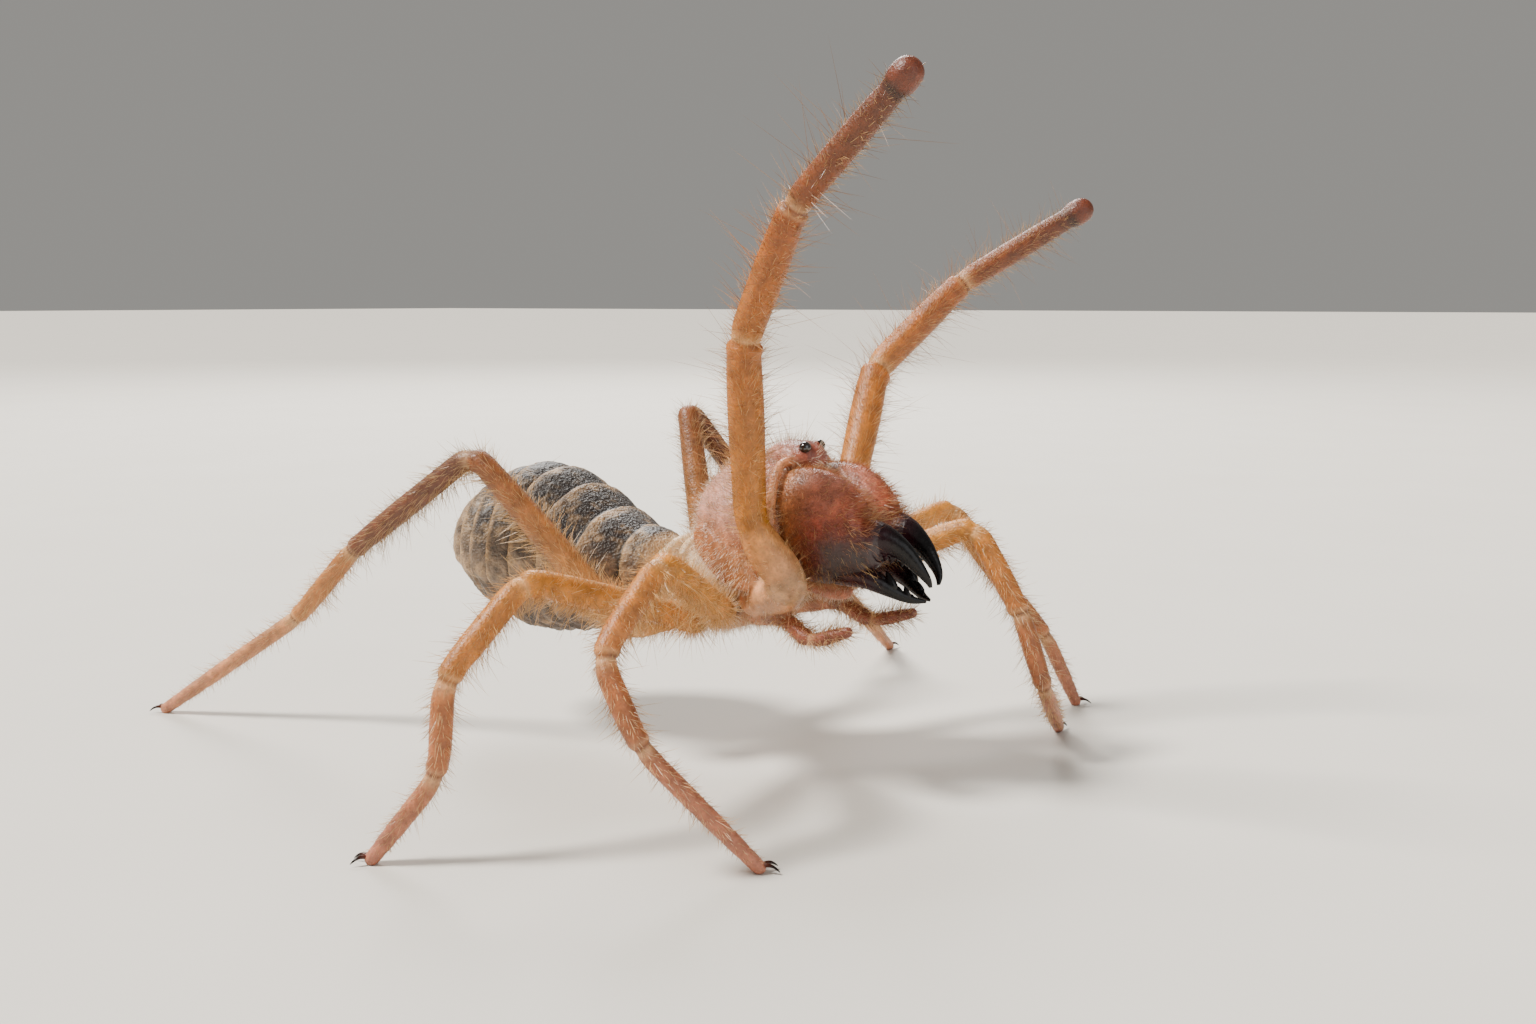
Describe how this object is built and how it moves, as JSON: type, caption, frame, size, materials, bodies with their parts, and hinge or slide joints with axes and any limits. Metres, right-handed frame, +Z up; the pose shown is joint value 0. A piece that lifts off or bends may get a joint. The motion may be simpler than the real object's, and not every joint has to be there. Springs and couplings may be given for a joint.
{
  "type": "camel spider",
  "caption": "Life-size still model of a camel spider standing on six legs, with both long palps raised and its jaws open.",
  "frame": {"origin": "on the floor, under the middle of the box round the whole model", "axes": "+X is the way the animal faces, +Y its left side, +Z up"},
  "size_m": [0.0924, 0.094, 0.065],
  "materials": {
    "limb_skin": "thin amber cuticle, satin, with short gold bristles",
    "palp_skin": "amber to brown cuticle with long sparse bristles",
    "abdomen_skin": "soft grey-brown folds with tan rims, matte",
    "head_skin": "smooth pinkish tan shield, satin",
    "chelicera_skin": "hard rust-red cuticle, satin, darkening to the fingers",
    "finger_horn": "black polished horn",
    "eye": "glossy black"
  },
  "bodies": {
    "root": {"abdomen_front": "abdomen_skin", "abdomen_middle": "abdomen_skin", "abdomen_rear": "abdomen_skin", "chelicera_left": "chelicera_skin", "chelicera_right": "chelicera_skin", "eye_left": "eye", "eye_right": "eye", "head_shield": "head_skin", "jaw_left": "finger_horn", "jaw_right": "finger_horn", "leg1_left_hip": "limb_skin", "leg1_left_shin": "limb_skin", "leg1_left_tip": "limb_skin", "leg1_right_hip": "limb_skin", "leg1_right_shin": "limb_skin", "leg1_right_tip": "limb_skin", "leg2_left_foot": "limb_skin", "leg2_left_hip": "limb_skin", "leg2_left_knee": "limb_skin", "leg2_left_shin": "limb_skin", "leg2_left_thigh": "limb_skin", "leg2_right_foot": "limb_skin", "leg2_right_hip": "limb_skin", "leg2_right_knee": "limb_skin", "leg2_right_shin": "limb_skin", "leg2_right_thigh": "limb_skin", "leg3_left_foot": "limb_skin", "leg3_left_hip": "limb_skin", "leg3_left_knee": "limb_skin", "leg3_left_shin": "limb_skin", "leg3_left_thigh": "limb_skin", "leg3_right_foot": "limb_skin", "leg3_right_hip": "limb_skin", "leg3_right_knee": "limb_skin", "leg3_right_shin": "limb_skin", "leg3_right_thigh": "limb_skin", "leg4_left_foot": "limb_skin", "leg4_left_hip": "limb_skin", "leg4_left_knee": "limb_skin", "leg4_left_shin": "limb_skin", "leg4_left_thigh": "limb_skin", "leg4_right_foot": "limb_skin", "leg4_right_hip": "limb_skin", "leg4_right_knee": "limb_skin", "leg4_right_shin": "limb_skin", "leg4_right_thigh": "limb_skin", "palp_left_hip": "palp_skin", "palp_left_knuckle": "palp_skin", "palp_left_shin": "palp_skin", "palp_left_thigh": "palp_skin", "palp_left_tip": "palp_skin", "palp_right_hip": "palp_skin", "palp_right_knuckle": "palp_skin", "palp_right_shin": "palp_skin", "palp_right_thigh": "palp_skin", "palp_right_tip": "palp_skin", "thorax": "head_skin"}
  },
  "joints": []
}
